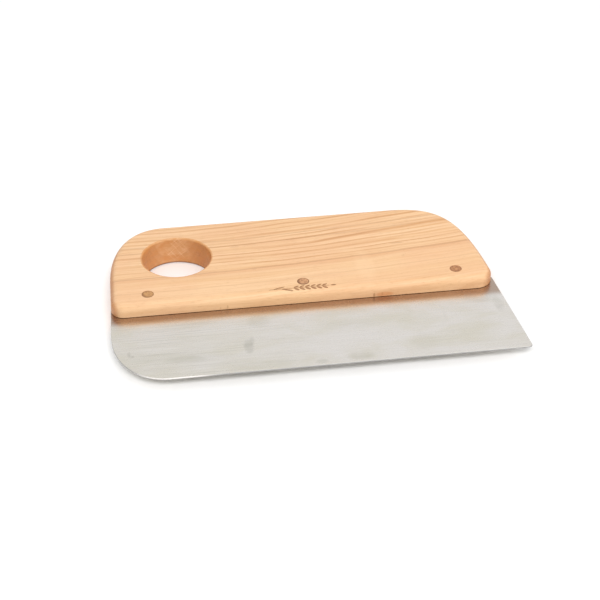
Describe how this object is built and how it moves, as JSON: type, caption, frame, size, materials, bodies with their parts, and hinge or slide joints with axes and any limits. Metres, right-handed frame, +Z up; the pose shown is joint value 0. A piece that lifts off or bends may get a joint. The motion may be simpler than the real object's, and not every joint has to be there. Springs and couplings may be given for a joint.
{
  "type": "bench scraper",
  "caption": "Flat wooden handle with a rounded edge and a hanging hole, holding a wide sheet-steel blade in a pinned saw kerf, for cutting and scraping dough.",
  "frame": {"origin": "on the plane of the handle's flat underside, at the middle of the overall length and depth", "axes": "+X along the blade towards its pointed end, +Y from the scraping edge to the back of the handle, +Z up out of the handle's top face"},
  "size_m": [0.201, 0.1234, 0.015],
  "materials": {
    "birch": "fine-sanded and oiled, long grain along X",
    "satin_stainless": "satin, faint brushing along X",
    "dowel_wood": "end grain, sanded flush and oiled"
  },
  "bodies": {
    "root": {"handle": "birch", "blade": "satin_stainless", "dowel_left": "dowel_wood", "dowel_middle": "dowel_wood", "dowel_right": "dowel_wood"}
  },
  "joints": []
}
